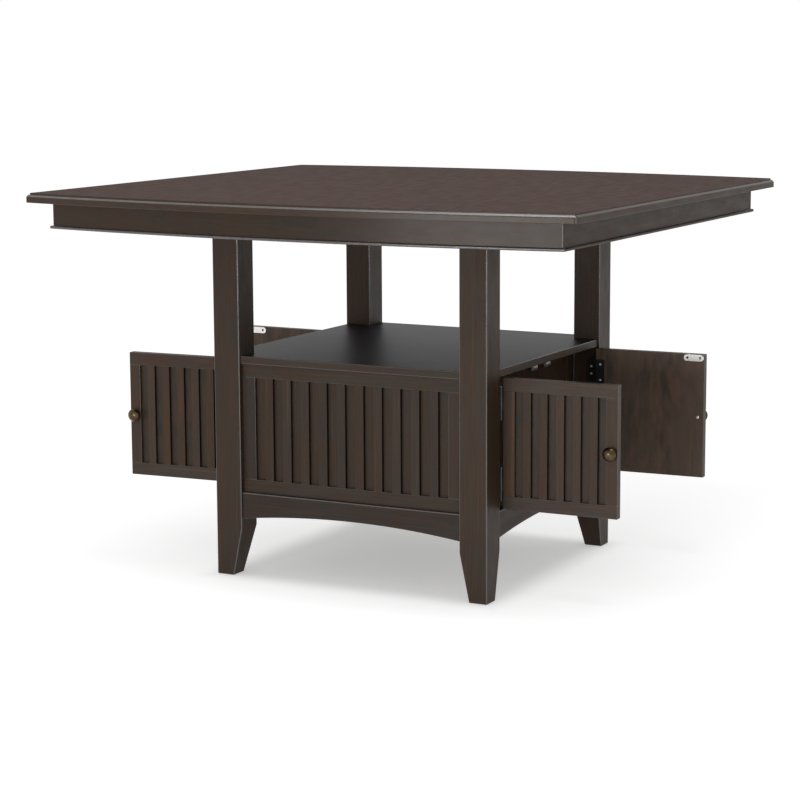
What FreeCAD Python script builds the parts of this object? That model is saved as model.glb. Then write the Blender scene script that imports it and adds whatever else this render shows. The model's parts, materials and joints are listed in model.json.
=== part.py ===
import FreeCAD, Part
import math
import os

# Kitchen table with a storage cabinet between its legs, in millimetres.
# Origin on the floor under the middle of the top. +Z is up, -Y is the front with its fixed
# slatted panel, +X is the right side with its pair of doors. The back repeats the front and
# the left side repeats the right. All four doors are drawn closed and then turned open.

V = FreeCAD.Vector
os.makedirs("parts", exist_ok=True)

# Overall size
HEIGHT = 914.4
TOP_SIZE = 1371.6
TOP_HALF = TOP_SIZE / 2

# Flats on small turned hardware, and on its holes
KNOB_FLATS = 20
SMALL_FLATS = 10

# Tabletop: front and back sides bow outwards, the edge is a small step over a quarter round
TOP_THICK = 22.0
TOP_BOW = 62.0
TOP_STEP_IN = 7.0
TOP_STEP_DOWN = 2.0
TOP_ROUND = 6.0
TOP_CORNER_R = 8.0
TOP_EASE = 1.0
TOP_UNDER = HEIGHT - TOP_THICK

# Apron: four mitred rails set in from the edge of the top, with a bead along the bottom
APRON_INSET = 47.0
APRON_THICK = 19.0
APRON_DEPTH = 61.0
BEAD_DEPTH = 7.5
BEAD_OUT = 6.0
BEAD_R = BEAD_DEPTH / 2
BEAD_FLATS = 8
APRON_CORNER_R = 3.0
APRON_BLOCK = 60.0
APRON_BLOCK_DROP = 8.0

# Legs: square, with only the two inner faces tapered at the foot
LEG_OUT = 355.6
LEG_SIDE = 69.0
LEG_IN = LEG_OUT - LEG_SIDE
LEG_EDGE_R = 2.0
FOOT_TAPER = 24.0
TAPER_TOP = 115.0
GLIDE_R = 14.0
GLIDE_THICK = 1.5
FOOT_MID = LEG_OUT - (LEG_SIDE - FOOT_TAPER) / 2

# Rails that join the legs under the top, and their corner blocks
FRAME_RAIL_OUT = 345.0
FRAME_RAIL_THICK = 22.0
FRAME_RAIL_DEPTH = 60.0
FRAME_RAIL_IN = FRAME_RAIL_OUT - FRAME_RAIL_THICK
CORNER_BLOCK_REACH = 60.0
CORNER_BLOCK_CLEAR = 10.0

# Cabinet top (the open shelf), floor and arched bottom rails
SHELF_TOP = 528.5
SHELF_THICK = 18.0
SHELF_UNDER = SHELF_TOP - SHELF_THICK
SHELF_OUT = 351.0
SHELF_EDGE_R = 1.5
ARCH_THICK = 20.0
ARCH_IN = SHELF_OUT - ARCH_THICK
ARCH_TOP = 204.0
ARCH_FOOT = 140.0
ARCH_RISE = 14.5
ARCH_FLAT_END = 39.0
ARCH_CURVE = 100.0
ARCH_TOP_R = 3.0
FLOOR_THICK = 16.0
CLEAT_SIDE = 20.0
CLEAT_END_GAP = 9.0
EDGE_EASE = 1.2

# Slatted faces: a backing board with a frame and raised slats in front of it
BOARD_THICK = 11.0
FACE_THICK = 8.0
PANEL_OUT = 342.0
PANEL_TOP_RAIL = 32.5
PANEL_BOTTOM_RAIL = 31.0
PANEL_STILE = 34.0
PANEL_SLATS = 10
PANEL_SLAT_WIDTH = 22.7
SLAT_EASE = 0.8

# Doors
DOOR_OUT = SHELF_OUT
DOOR_BOTTOM = 208.3
DOOR_TOP = 509.3
DOOR_HINGE_GAP = 4.8
DOOR_MEET_GAP = 8.0
DOOR_RAIL = 30.0
DOOR_STILE = 28.0
DOOR_SLATS = 5
DOOR_SLAT_WIDTH = 20.5
DOOR_THICK = BOARD_THICK + FACE_THICK
DOOR_IN = DOOR_OUT - DOOR_THICK
DOOR_MID = (DOOR_TOP + DOOR_BOTTOM) / 2
HINGE_EDGE = -LEG_IN + DOOR_HINGE_GAP
FREE_EDGE = -DOOR_MEET_GAP / 2

# Knob and its screw
KNOB_FROM_EDGE = 15.5
KNOB_Z = 356.5
KNOB_R = 15.7
KNOB_NECK_R = 5.0
KNOB_BASE_R = 8.0
KNOB_BASE_THICK = 2.0
KNOB_NECK = 9.0
KNOB_RIM = 3.0
KNOB_DOME = 9.0
SCREW_R = 2.0
SCREW_HOLE_R = 2.3
SCREW_BITE = 8.0
SCREW_HEAD_R = 4.0
SCREW_HEAD_THICK = 2.2

# Strike plate on each door, magnetic catch under the cabinet top
STRIKE_LONG = 51.0
STRIKE_WIDE = 16.0
STRIKE_THICK = 1.2
STRIKE_FROM_EDGE = 1.5
STRIKE_FROM_TOP = 0.8
STRIKE_HOLE_R = 2.0
STRIKE_HOLE_SPACING = 32.0
CATCH_NEAR = 20.0
CATCH_LONG = 33.0
CATCH_DEEP = 22.0
CATCH_DROP = 17.0
CATCH_CORNER = 3.0
CATCH_GAP = 0.5
POLE_LONG = 24.0
POLE_THICK = 1.5
POLE_PROUD = 1.0
POLE_HEIGHTS = (4.5, 10.5)

# Hinges: one leaf on the leg, one wrapped round the edge of the door, and a loose pin
HINGE_X = LEG_OUT + 1.5
HINGE_Y = 3.4 - LEG_IN
HINGE_ZS = (DOOR_MID - 93.0, DOOR_MID + 93.0)
BARREL_R = 3.0
BARREL_LONG = 76.0
DOOR_KNUCKLE = 28.0
KNUCKLE_GAP = 0.4
PIN_R = 1.5
PIN_CLEARANCE = 0.03
RUNNING_R = (PIN_R + PIN_CLEARANCE) / math.cos(math.pi / SMALL_FLATS)
PIN_HEAD_R = 2.6
PIN_HEAD_THICK = 1.2
LEAF_THICK = 1.2
LEAF_CORNER = 2.0
LEG_LEAF_REACH = 33.0
LEG_LEAF_TIP = 44.0
DOOR_LEAF_TALL = 62.0
DOOR_LEAF_WRAP = 22.0
LEAF_HOLE_R = 2.2
LEG_LEAF_HOLE_X = HINGE_X - 21.5
LEG_LEAF_HOLE_RISE = 9.0
DOOR_LEAF_HOLE_IN = 11.0
DOOR_LEAF_HOLE_RISE = 19.5
NOTCH_CLEAR = 0.4

# How far each door stands open at rest, from closed
OPEN_DEGREES = {
    "right_front": 89.1,
    "right_back": 92.4,
    "left_front": 93.4,
    "left_back": 91.0,
}


# ---------------------------------------------------------------- helpers

def box(x0, x1, y0, y1, z0, z1):
    """Box between two corners, given as low and high along each axis."""
    return Part.makeBox(x1 - x0, y1 - y0, z1 - z0, V(x0, y0, z0))


def prism(points, z0, z1):
    """Upright prism on a plan polygon."""
    wire = Part.makePolygon([V(x, y, z0) for x, y in points] + [V(*points[0], z0)])
    return Part.Face(wire).extrude(V(0, 0, z1 - z0))


def ring(radius, height, flats):
    """Corners of a regular polygon about Z."""
    turns = [2 * math.pi * i / flats for i in range(flats)]
    return [V(radius * math.cos(turn), radius * math.sin(turn), height) for turn in turns]


def rod(radius, length, base, direction=V(0, 0, 1), flats=SMALL_FLATS):
    """Rod or drill with flats, for small hardware that repeats and so keeps few faces."""
    corners = ring(radius, 0, flats)
    solid = Part.Face(Part.makePolygon(corners + corners[:1])).extrude(V(0, 0, length))
    solid.Placement = FreeCAD.Placement(base, FreeCAD.Rotation(V(0, 0, 1), direction))
    return solid


def turned(profile, flats):
    """Solid turned about Z through (radius, height) pairs from the bottom up, as flat facets."""
    rings = [ring(radius, height, flats) for radius, height in profile]
    faces = [Part.Face(Part.makePolygon(end + end[:1])) for end in (rings[0], rings[-1])]
    for low, high in zip(rings, rings[1:]):
        for i in range(flats):
            j = (i + 1) % flats
            faces.append(Part.Face(Part.makePolygon([low[i], low[j], high[j], high[i], low[i]])))
    shell = Part.makeShell(faces)
    shell.sewShape()
    return Part.makeSolid(shell)


def ease(solid, radius, wanted):
    """Round the edges of a solid that the test picks out."""
    return solid.makeFillet(radius, [edge for edge in solid.Edges if wanted(edge)])


def bevel(solid, width, wanted):
    """Chamfer the edges of a solid that the test picks out."""
    return solid.makeChamfer(width, [edge for edge in solid.Edges if wanted(edge)])


def runs_along(edge, axis):
    """True for a straight edge along X (0), Y (1) or Z (2)."""
    size = (edge.BoundBox.XLength, edge.BoundBox.YLength, edge.BoundBox.ZLength)
    return size[axis] > 1.0 and all(size[i] < 0.01 for i in range(3) if i != axis)


def mirrored(solid, across_x, across_y):
    """Copy of a solid on another side of the table."""
    solid = solid.copy()
    if across_x:
        solid = solid.mirror(V(0, 0, 0), V(1, 0, 0))
    if across_y:
        solid = solid.mirror(V(0, 0, 0), V(0, 1, 0))
    return solid


def quarter_turned(solid, turns):
    """Copy of a solid turned about the table's middle by quarter turns."""
    turned = solid.copy()
    turned.rotate(V(0, 0, 0), V(0, 0, 1), 90 * turns)
    return turned


def at_four_corners(solid):
    """The same piece at all four corners."""
    return [mirrored(solid, mx, my) for mx in (False, True) for my in (False, True)]


def save(node, *solids):
    """Write one node; several solids make a group."""
    shape = solids[0] if len(solids) == 1 else Part.makeCompound(list(solids))
    if not shape.isValid():
        raise ValueError(node + " is not a valid shape")
    shape.exportStep("parts/" + node + ".step")
    SAVED[node] = shape


SAVED = {}


# ---------------------------------------------------------------- plan of the top

ARC_R = (TOP_HALF ** 2 + TOP_BOW ** 2) / (2 * TOP_BOW)
ARC_MID_Y = TOP_HALF - ARC_R


def corner_at(inset):
    """Back right corner of the top's plan, moved inwards all round by inset."""
    x = TOP_HALF - inset
    y = ARC_MID_Y + math.sqrt((ARC_R - inset) ** 2 - x ** 2)
    return x, y


def plan_wire(inset, z):
    """Closed plan of the top: straight sides, bowed front and back."""
    x, y = corner_at(inset)
    mid = TOP_HALF - inset
    back = Part.Arc(V(x, y, z), V(0, mid, z), V(-x, y, z)).toShape()
    left = Part.makeLine(V(-x, y, z), V(-x, -y, z))
    front = Part.Arc(V(-x, -y, z), V(0, -mid, z), V(x, -y, z)).toShape()
    right = Part.makeLine(V(x, -y, z), V(x, y, z))
    return Part.Wire([back, left, front, right])


def plan_slab(inset, corner_r, z0, z1):
    """Slab with the top's plan and rounded corners."""
    slab = Part.Face(plan_wire(inset, z0)).extrude(V(0, 0, z1 - z0))
    return ease(slab, corner_r, lambda edge: runs_along(edge, 2))


# ---------------------------------------------------------------- tabletop and apron

def make_tabletop():
    """Top with a small step and a quarter round all along its upper edge."""
    step_z = HEIGHT - TOP_STEP_DOWN
    slab = plan_slab(0, TOP_CORNER_R, TOP_UNDER, step_z)
    slab = ease(slab, TOP_ROUND, lambda edge: edge.BoundBox.ZMin > step_z - 0.01)
    slab = bevel(slab, TOP_EASE, lambda edge: edge.BoundBox.ZMax < TOP_UNDER + 0.01)
    field = plan_slab(TOP_STEP_IN, TOP_CORNER_R - TOP_STEP_DOWN, step_z - 1, HEIGHT)
    field = bevel(field, TOP_EASE / 2, lambda edge: edge.BoundBox.ZMin > HEIGHT - 0.01)
    return slab.fuse(field)


def apron_profile(face_x):
    """Section of an apron rail in the XZ plane, its outer face at face_x, outwards +X."""
    top = TOP_UNDER
    bottom = TOP_UNDER - APRON_DEPTH
    nose = face_x + BEAD_OUT - BEAD_R
    inner = face_x - APRON_THICK
    points = [V(face_x, 0, top), V(face_x, 0, bottom + BEAD_DEPTH)]
    for i in range(BEAD_FLATS + 1):
        turn = math.pi * (0.5 - i / BEAD_FLATS)
        points.append(V(nose + BEAD_R * math.cos(turn), 0, bottom + BEAD_R + BEAD_R * math.sin(turn)))
    points += [V(inner, 0, bottom), V(inner, 0, top), V(face_x, 0, top)]
    return Part.Face(Part.makePolygon(points))


def mitre_plan(bowed):
    """Plan area that holds one apron rail, its ends on the mitre lines."""
    out_x, out_y = corner_at(APRON_INSET - BEAD_OUT - 2)
    in_x, in_y = corner_at(APRON_INSET + APRON_THICK + 5)
    if bowed:
        return [(-out_x, out_y), (-in_x, in_y), (in_x, in_y), (out_x, out_y), (0, TOP_SIZE)]
    return [(out_x, out_y), (in_x, in_y), (in_x, -in_y), (out_x, -out_y)]


def round_corners(rail):
    """Apron rail with its outer corners rounded, on the face and again on the bead."""
    bead_top = TOP_UNDER - APRON_DEPTH + BEAD_DEPTH
    face = plan_slab(APRON_INSET, APRON_CORNER_R, bead_top, TOP_UNDER)
    bead = plan_slab(APRON_INSET - BEAD_OUT, APRON_CORNER_R, TOP_UNDER - APRON_DEPTH, bead_top)
    return rail.common(face.fuse(bead))


def make_apron_side():
    """Straight apron rail of the right side."""
    profile = apron_profile(TOP_HALF - APRON_INSET)
    profile.translate(V(0, -TOP_HALF, 0))
    rail = profile.extrude(V(0, TOP_SIZE, 0))
    return round_corners(rail.common(prism(mitre_plan(False), 0, HEIGHT)))


def make_apron_bowed():
    """Bowed apron rail of the back, swept about the middle of the arc."""
    half_angle = math.degrees(math.asin(TOP_HALF / ARC_R))
    profile = apron_profile(ARC_R - APRON_INSET)
    profile.rotate(V(0, 0, 0), V(0, 0, 1), 90 - half_angle)
    rail = profile.revolve(V(0, 0, 0), V(0, 0, 1), 2 * half_angle)
    rail.translate(V(0, ARC_MID_Y, 0))
    return round_corners(rail.common(prism(mitre_plan(True), 0, HEIGHT)))


def make_apron_block():
    """Glue block in the back right corner of the apron."""
    inset = APRON_INSET + APRON_THICK
    x, y = corner_at(inset)
    back_x = x - APRON_BLOCK
    back_y = ARC_MID_Y + math.sqrt((ARC_R - inset) ** 2 - back_x ** 2)
    z0 = TOP_UNDER - APRON_DEPTH + APRON_BLOCK_DROP
    return prism([(x, y), (x, y - APRON_BLOCK), (back_x, back_y)], z0, TOP_UNDER)


# ---------------------------------------------------------------- base frame

def make_leg():
    """Back right leg, tapered at the foot on its two inner faces."""
    leg = box(LEG_IN, LEG_OUT, LEG_IN, LEG_OUT, GLIDE_THICK, TOP_UNDER)
    foot_in = LEG_IN + FOOT_TAPER
    wedge = Part.Face(Part.makePolygon([
        V(LEG_IN - 1, 0, GLIDE_THICK - 1), V(foot_in, 0, GLIDE_THICK - 1), V(foot_in, 0, GLIDE_THICK),
        V(LEG_IN, 0, TAPER_TOP), V(LEG_IN - 1, 0, TAPER_TOP), V(LEG_IN - 1, 0, GLIDE_THICK - 1)]))
    across = wedge.extrude(V(0, LEG_OUT + 1, 0))
    along = across.mirror(V(0, 0, 0), V(1, -1, 0))
    leg = leg.cut([across, along])
    return ease(leg, LEG_EDGE_R, lambda edge: edge.BoundBox.ZLength > 50)


def make_glide():
    """Round glide under the back right foot."""
    return rod(GLIDE_R, GLIDE_THICK, V(FOOT_MID, FOOT_MID, 0), flats=KNOB_FLATS)


def make_frame_rail():
    """Back rail between the tops of the legs."""
    rail = box(-LEG_IN, LEG_IN, FRAME_RAIL_IN, FRAME_RAIL_OUT, TOP_UNDER - FRAME_RAIL_DEPTH, TOP_UNDER)
    return ease(rail, EDGE_EASE, lambda edge: runs_along(edge, 0) and edge.BoundBox.ZMax < TOP_UNDER - 1)


def make_corner_block():
    """Block inside the back right corner of the rails, notched round the leg."""
    reach = LEG_IN - CORNER_BLOCK_REACH
    plan = [(FRAME_RAIL_IN, reach), (FRAME_RAIL_IN, LEG_IN), (LEG_IN, LEG_IN),
            (LEG_IN, FRAME_RAIL_IN), (reach, FRAME_RAIL_IN)]
    z0 = TOP_UNDER - FRAME_RAIL_DEPTH + CORNER_BLOCK_CLEAR
    return prism(plan, z0, TOP_UNDER - CORNER_BLOCK_CLEAR)


# ---------------------------------------------------------------- cabinet case

def notched_board(half, z0, z1):
    """Square board with its corners cut away round the legs."""
    board = box(-half, half, -half, half, z0, z1)
    notch = box(LEG_IN, half + 1, LEG_IN, half + 1, z0 - 1, z1 + 1)
    for corner in at_four_corners(notch):
        board = board.cut(corner)
    return board


def make_cabinet_top():
    """Cabinet top, which is also the open shelf."""
    board = notched_board(SHELF_OUT, SHELF_UNDER, SHELF_TOP)

    def outer_edge(edge):
        reach = max(abs(edge.CenterOfMass.x), abs(edge.CenterOfMass.y))
        return edge.BoundBox.ZLength < 0.01 and reach > SHELF_OUT - 0.01

    return ease(board, SHELF_EDGE_R, outer_edge)


def make_cleat():
    """Strip behind the back arched rail that carries the floor."""
    half = LEG_IN - CLEAT_END_GAP
    z1 = ARCH_TOP - FLOOR_THICK
    return box(-half, half, ARCH_IN - CLEAT_SIDE, ARCH_IN, z1 - CLEAT_SIDE, z1)


def make_arch_rail():
    """Back arched rail: level ends, then an S curve up to a level middle."""
    y = ARCH_IN
    curve_out = LEG_IN - ARCH_FLAT_END
    curve_in = curve_out - ARCH_CURVE
    crown = ARCH_FOOT + ARCH_RISE
    radius = (ARCH_CURVE ** 2 + ARCH_RISE ** 2) / (4 * ARCH_RISE)
    quarter = ARCH_CURVE / 4
    sag = radius - math.sqrt(radius ** 2 - quarter ** 2)
    middle = V((curve_out + curve_in) / 2, y, ARCH_FOOT + ARCH_RISE / 2)

    def half_edges():
        lower = Part.Arc(V(curve_out, y, ARCH_FOOT), V(curve_out - quarter, y, ARCH_FOOT + sag), middle)
        upper = Part.Arc(middle, V(curve_in + quarter, y, crown - sag), V(curve_in, y, crown))
        return [Part.makeLine(V(LEG_IN, y, ARCH_FOOT), V(curve_out, y, ARCH_FOOT)),
                lower.toShape(), upper.toShape()]

    right = half_edges()
    left = [edge.mirror(V(0, 0, 0), V(1, 0, 0)) for edge in half_edges()]
    crown_line = Part.makeLine(V(-curve_in, y, crown), V(curve_in, y, crown))
    outline = Part.makePolygon([V(LEG_IN, y, ARCH_FOOT), V(LEG_IN, y, ARCH_TOP),
                                V(-LEG_IN, y, ARCH_TOP), V(-LEG_IN, y, ARCH_FOOT)])
    edges = Part.sortEdges(right + left + [crown_line] + outline.Edges)[0]
    rail = Part.Face(Part.Wire(edges)).extrude(V(0, ARCH_THICK, 0))

    def top_front(edge):
        box_of = edge.BoundBox
        return runs_along(edge, 0) and box_of.ZMin > ARCH_TOP - 1 and box_of.YMin > SHELF_OUT - 1

    return ease(rail, ARCH_TOP_R, top_front)


# ---------------------------------------------------------------- slatted faces

def slat_starts(inner_low, inner_high, count, width):
    """Low sides of slats spread evenly, with a gap before the first and after the last."""
    gap = (inner_high - inner_low - count * width) / (count + 1)
    return [inner_low + gap + i * (width + gap) for i in range(count)]


def slatted_face(low, high, z0, z1, back, bottom_rail, top_rail, stile, count, width):
    """Board, frame and slats of one face, facing +Y, from low to high along X."""
    mid = back + BOARD_THICK
    front = mid + FACE_THICK
    board = box(low, high, back, mid, z0, z1)
    frame = [
        box(low, high, mid, front, z0, z0 + bottom_rail),
        box(low, high, mid, front, z1 - top_rail, z1),
        box(low, low + stile, mid, front, z0 + bottom_rail, z1 - top_rail),
        box(high - stile, high, mid, front, z0 + bottom_rail, z1 - top_rail),
    ]
    slats = []

    def long_front(edge):
        return runs_along(edge, 2) and edge.BoundBox.YMin > front - 0.01

    for x in slat_starts(low + stile, high - stile, count, width):
        slat = box(x, x + width, mid, front, z0 + bottom_rail, z1 - top_rail)
        slats.append(bevel(slat, SLAT_EASE, long_front))
    return board, frame, slats


def make_panel():
    """Board, frame and slats of the back panel."""
    return slatted_face(-LEG_IN, LEG_IN, ARCH_TOP, SHELF_UNDER, PANEL_OUT - BOARD_THICK - FACE_THICK,
                        PANEL_BOTTOM_RAIL, PANEL_TOP_RAIL, PANEL_STILE, PANEL_SLATS, PANEL_SLAT_WIDTH)


# ---------------------------------------------------------------- doors, all as the closed right front door

def knob_y():
    """Where the knob sits across the door."""
    return FREE_EDGE - KNOB_FROM_EDGE


def make_door_wood():
    """Board, frame and slats of the door, with the hole for the knob's screw."""
    board, frame, slats = slatted_face(-FREE_EDGE, -HINGE_EDGE, DOOR_BOTTOM, DOOR_TOP, DOOR_IN,
                                       DOOR_RAIL, DOOR_RAIL, DOOR_STILE, DOOR_SLATS, DOOR_SLAT_WIDTH)
    turned = [quarter_turned(solid, -1) for solid in [board] + frame + slats]
    hole = rod(SCREW_HOLE_R, DOOR_THICK + 2, V(DOOR_IN - 1, knob_y(), KNOB_Z), V(1, 0, 0))
    drilled = [solid.cut(hole) for solid in turned[:5]]
    return drilled[0], drilled[1:], turned[5:]


def make_knob():
    """Turned knob: rosette, waisted neck and domed head, with a tapped hole in its base."""
    head = KNOB_BASE_THICK + KNOB_NECK
    rim = head + KNOB_RIM
    crown = rim + KNOB_DOME
    profile = [
        (KNOB_BASE_R, 0),
        (KNOB_BASE_R, KNOB_BASE_THICK),
        (KNOB_NECK_R + 0.8, KNOB_BASE_THICK + 1.5),
        (KNOB_NECK_R, (KNOB_BASE_THICK + head) / 2),
        (KNOB_NECK_R + 1.5, head),
        (KNOB_R - 0.8, rim - 0.6),
        (KNOB_R, rim + 0.6),
    ]
    dome_r = (KNOB_R ** 2 + KNOB_DOME ** 2) / (2 * KNOB_DOME)
    dome_half = math.asin(KNOB_R / dome_r)
    for share in (0.8, 0.52, 0.22):
        lean = dome_half * share
        profile.append((dome_r * math.sin(lean), crown - dome_r * (1 - math.cos(lean))))
    knob = turned(profile, KNOB_FLATS).cut(rod(SCREW_R, SCREW_BITE, V(0, 0, 0)))
    knob.rotate(V(0, 0, 0), V(0, 1, 0), 90)
    knob.translate(V(DOOR_OUT, knob_y(), KNOB_Z))
    return knob


def make_knob_screw():
    """Screw from the inner face of the door into the knob."""
    low = -SCREW_HEAD_THICK
    head = turned([(SCREW_HEAD_R * 0.6, low), (SCREW_HEAD_R * 0.9, low * 0.8), (SCREW_HEAD_R, low * 0.4),
                   (SCREW_HEAD_R, 0)], SMALL_FLATS)
    screw = head.fuse(rod(SCREW_R, DOOR_THICK + SCREW_BITE, V(0, 0, 0)))
    screw.rotate(V(0, 0, 0), V(0, 1, 0), 90)
    screw.translate(V(DOOR_IN, knob_y(), KNOB_Z))
    return screw


def make_strike():
    """Strike plate at the top of the door's free edge, with round ends and two holes."""
    y1 = FREE_EDGE - STRIKE_FROM_EDGE
    y0 = y1 - STRIKE_LONG
    z = DOOR_TOP - STRIKE_FROM_TOP - STRIKE_WIDE / 2
    x = DOOR_IN - STRIKE_THICK
    end_r = STRIKE_WIDE / 2
    plate = box(x, DOOR_IN, y0 + end_r, y1 - end_r, z - end_r, z + end_r)
    for y in (y0 + end_r, y1 - end_r):
        plate = plate.fuse(rod(end_r, STRIKE_THICK, V(x, y, z), V(1, 0, 0), KNOB_FLATS))
    for side in (-1, 1):
        y = (y0 + y1) / 2 + side * STRIKE_HOLE_SPACING / 2
        plate = plate.cut(rod(STRIKE_HOLE_R, STRIKE_THICK + 2, V(x - 1, y, z), V(1, 0, 0)))
    return plate.removeSplitter()


def knuckle(z0, z1, bore_r):
    """One knuckle of a hinge barrel."""
    outside = rod(BARREL_R, z1 - z0, V(HINGE_X, HINGE_Y, z0))
    return outside.cut(rod(bore_r, z1 - z0, V(HINGE_X, HINGE_Y, z0)))


def leaf_hole(centre, direction):
    """Screw hole through a leaf."""
    return rod(LEAF_HOLE_R, 6, centre - direction * 3, direction)


def make_leg_leaf(mid):
    """Leaf on the leg, narrower at its tip, with the two outer knuckles."""
    x1 = HINGE_X
    x0 = x1 - LEG_LEAF_REACH
    shoulder = x1 - LEG_LEAF_REACH * 0.4
    half = BARREL_LONG / 2
    tip = LEG_LEAF_TIP / 2
    corners = [(x1, -half), (shoulder, -half), (x0, -tip), (x0, tip), (shoulder, half), (x1, half)]
    wire = Part.makePolygon([V(x, -LEG_IN, mid + z) for x, z in corners + corners[:1]])
    leaf = Part.Face(wire).extrude(V(0, LEAF_THICK, 0))
    inner = DOOR_KNUCKLE / 2 + KNUCKLE_GAP
    barrel_reach = BARREL_R + NOTCH_CLEAR
    leaf = leaf.cut(box(x1 - barrel_reach, x1 + 1, -LEG_IN - 1, HINGE_Y + 9, mid - inner, mid + inner))
    leaf = leaf.cut(rod(PIN_R, BARREL_LONG, V(HINGE_X, HINGE_Y, mid - half)))
    for z0, z1 in ((-half, -inner), (inner, half)):
        leaf = leaf.fuse(knuckle(mid + z0, mid + z1, PIN_R))
    for side in (-1, 1):
        leaf = leaf.cut(leaf_hole(V(LEG_LEAF_HOLE_X, -LEG_IN, mid + side * LEG_LEAF_HOLE_RISE), V(0, 1, 0)))
    return leaf.removeSplitter()


def make_door_leaf(mid):
    """Leaf that lies along the door's edge and turns onto its inner face, with the middle knuckle."""
    half = DOOR_LEAF_TALL / 2
    inner = DOOR_KNUCKLE / 2
    z0 = mid - half
    z1 = mid + half
    edge_y = HINGE_EDGE - LEAF_THICK
    leaf_x = DOOR_IN - LEAF_THICK
    edge_plate = box(leaf_x, HINGE_X - BARREL_R - NOTCH_CLEAR - 1, edge_y, HINGE_EDGE, z0, z1)
    tongue = box(DOOR_IN, HINGE_X, edge_y, HINGE_EDGE, mid - inner, mid + inner)
    tongue = tongue.cut(rod(RUNNING_R, BARREL_LONG, V(HINGE_X, HINGE_Y, z0)))
    face_plate = box(leaf_x, DOOR_IN, edge_y, HINGE_EDGE + DOOR_LEAF_WRAP, z0, z1)
    face_plate = bevel(face_plate, LEAF_CORNER,
                       lambda edge: runs_along(edge, 0) and edge.BoundBox.YMin > HINGE_EDGE)
    leaf = edge_plate.fuse([tongue, face_plate, knuckle(mid - inner, mid + inner, RUNNING_R)])
    for side in (-1, 1):
        centre = V(DOOR_IN, HINGE_EDGE + DOOR_LEAF_HOLE_IN, mid + side * DOOR_LEAF_HOLE_RISE)
        leaf = leaf.cut(leaf_hole(centre, V(1, 0, 0)))
    return leaf.removeSplitter()


def make_pin(mid):
    """Hinge pin with a small head at the top."""
    half = BARREL_LONG / 2
    shank = rod(PIN_R, BARREL_LONG, V(HINGE_X, HINGE_Y, mid - half))
    head = rod(PIN_HEAD_R, PIN_HEAD_THICK, V(HINGE_X, HINGE_Y, mid + half))
    return shank.fuse(head)


def make_catch():
    """Magnetic catch under the cabinet top, for the right front door, with its two steel poles."""
    face_x = DOOR_IN - STRIKE_THICK - CATCH_GAP
    body_x = face_x - POLE_PROUD
    y1 = -CATCH_NEAR
    y0 = y1 - CATCH_LONG
    body = box(body_x - CATCH_DEEP, body_x, y0, y1, SHELF_UNDER - CATCH_DROP, SHELF_UNDER)
    body = bevel(body, CATCH_CORNER, lambda edge: runs_along(edge, 2))
    mid_y = (y0 + y1) / 2
    poles = []
    for drop in POLE_HEIGHTS:
        z1 = SHELF_UNDER - drop
        poles.append(box(body_x, face_x, mid_y - POLE_LONG / 2, mid_y + POLE_LONG / 2, z1 - POLE_THICK, z1))
    return body, poles


# ---------------------------------------------------------------- write every node

save("tabletop", make_tabletop())
bowed = make_apron_bowed()
straight = make_apron_side()
save("apron_back", bowed)
save("apron_front", mirrored(bowed, False, True))
save("apron_right", straight)
save("apron_left", mirrored(straight, True, False))
save("apron_glue_blocks", *at_four_corners(make_apron_block()))

leg = make_leg()
save("leg_right_back", leg)
save("leg_right_front", mirrored(leg, False, True))
save("leg_left_back", mirrored(leg, True, False))
save("leg_left_front", mirrored(leg, True, True))
save("leg_glides", *at_four_corners(make_glide()))

SIDES = ("back", "left", "front", "right")
for turns, side in enumerate(SIDES):
    save("frame_rail_" + side, quarter_turned(make_frame_rail(), turns))
    save("arch_rail_" + side, quarter_turned(make_arch_rail(), turns))
save("frame_corner_blocks", *at_four_corners(make_corner_block()))
save("floor_cleats", *[quarter_turned(make_cleat(), turns) for turns in range(4)])
save("cabinet_top", make_cabinet_top())
save("cabinet_floor", notched_board(ARCH_IN, ARCH_TOP - FLOOR_THICK, ARCH_TOP))

panel_board, panel_frame, panel_slats = make_panel()
for side, across in (("back", False), ("front", True)):
    save("panel_board_" + side, mirrored(panel_board, False, across))
    save("panel_frame_" + side, *[mirrored(solid, False, across) for solid in panel_frame])
    save("panel_slats_" + side, *[mirrored(solid, False, across) for solid in panel_slats])

door_board, door_frame, door_slats = make_door_wood()
DOOR_NODES = {
    "door_board": [door_board],
    "door_frame": door_frame,
    "door_slats": door_slats,
    "door_knob": [make_knob(), make_knob_screw()],
    "strike_plate": [make_strike()],
    "hinge_door_leaves": [make_door_leaf(z) for z in HINGE_ZS],
}
DOOR_SIDES = {
    "right_front": (False, False, -1),
    "right_back": (False, True, 1),
    "left_front": (True, False, 1),
    "left_back": (True, True, -1),
}
for place, (across_x, across_y, sense) in DOOR_SIDES.items():
    pivot = V(-HINGE_X if across_x else HINGE_X, -HINGE_Y if across_y else HINGE_Y, 0)
    for name, solids in DOOR_NODES.items():
        turned = [mirrored(solid, across_x, across_y) for solid in solids]
        for solid in turned:
            solid.rotate(pivot, V(0, 0, 1), sense * OPEN_DEGREES[place])
        save(name + "_" + place, *turned)

leg_leaves = []
pins = []
for z in HINGE_ZS:
    leg_leaves += at_four_corners(make_leg_leaf(z))
    pins += at_four_corners(make_pin(z))
save("hinge_leg_leaves", *leg_leaves)
save("hinge_pins", *pins)

catch_body, catch_poles = make_catch()
save("magnetic_catches", *at_four_corners(catch_body))
save("catch_poles", *[copy for pole in catch_poles for copy in at_four_corners(pole)])

whole = Part.makeCompound(list(SAVED.values())).BoundBox
print(len(SAVED), "nodes")
print("size", round(whole.XLength, 2), round(whole.YLength, 2), round(whole.ZLength, 2))
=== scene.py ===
import json
import math
import random
import bmesh
import bpy
from mathutils import Matrix, Vector

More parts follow.
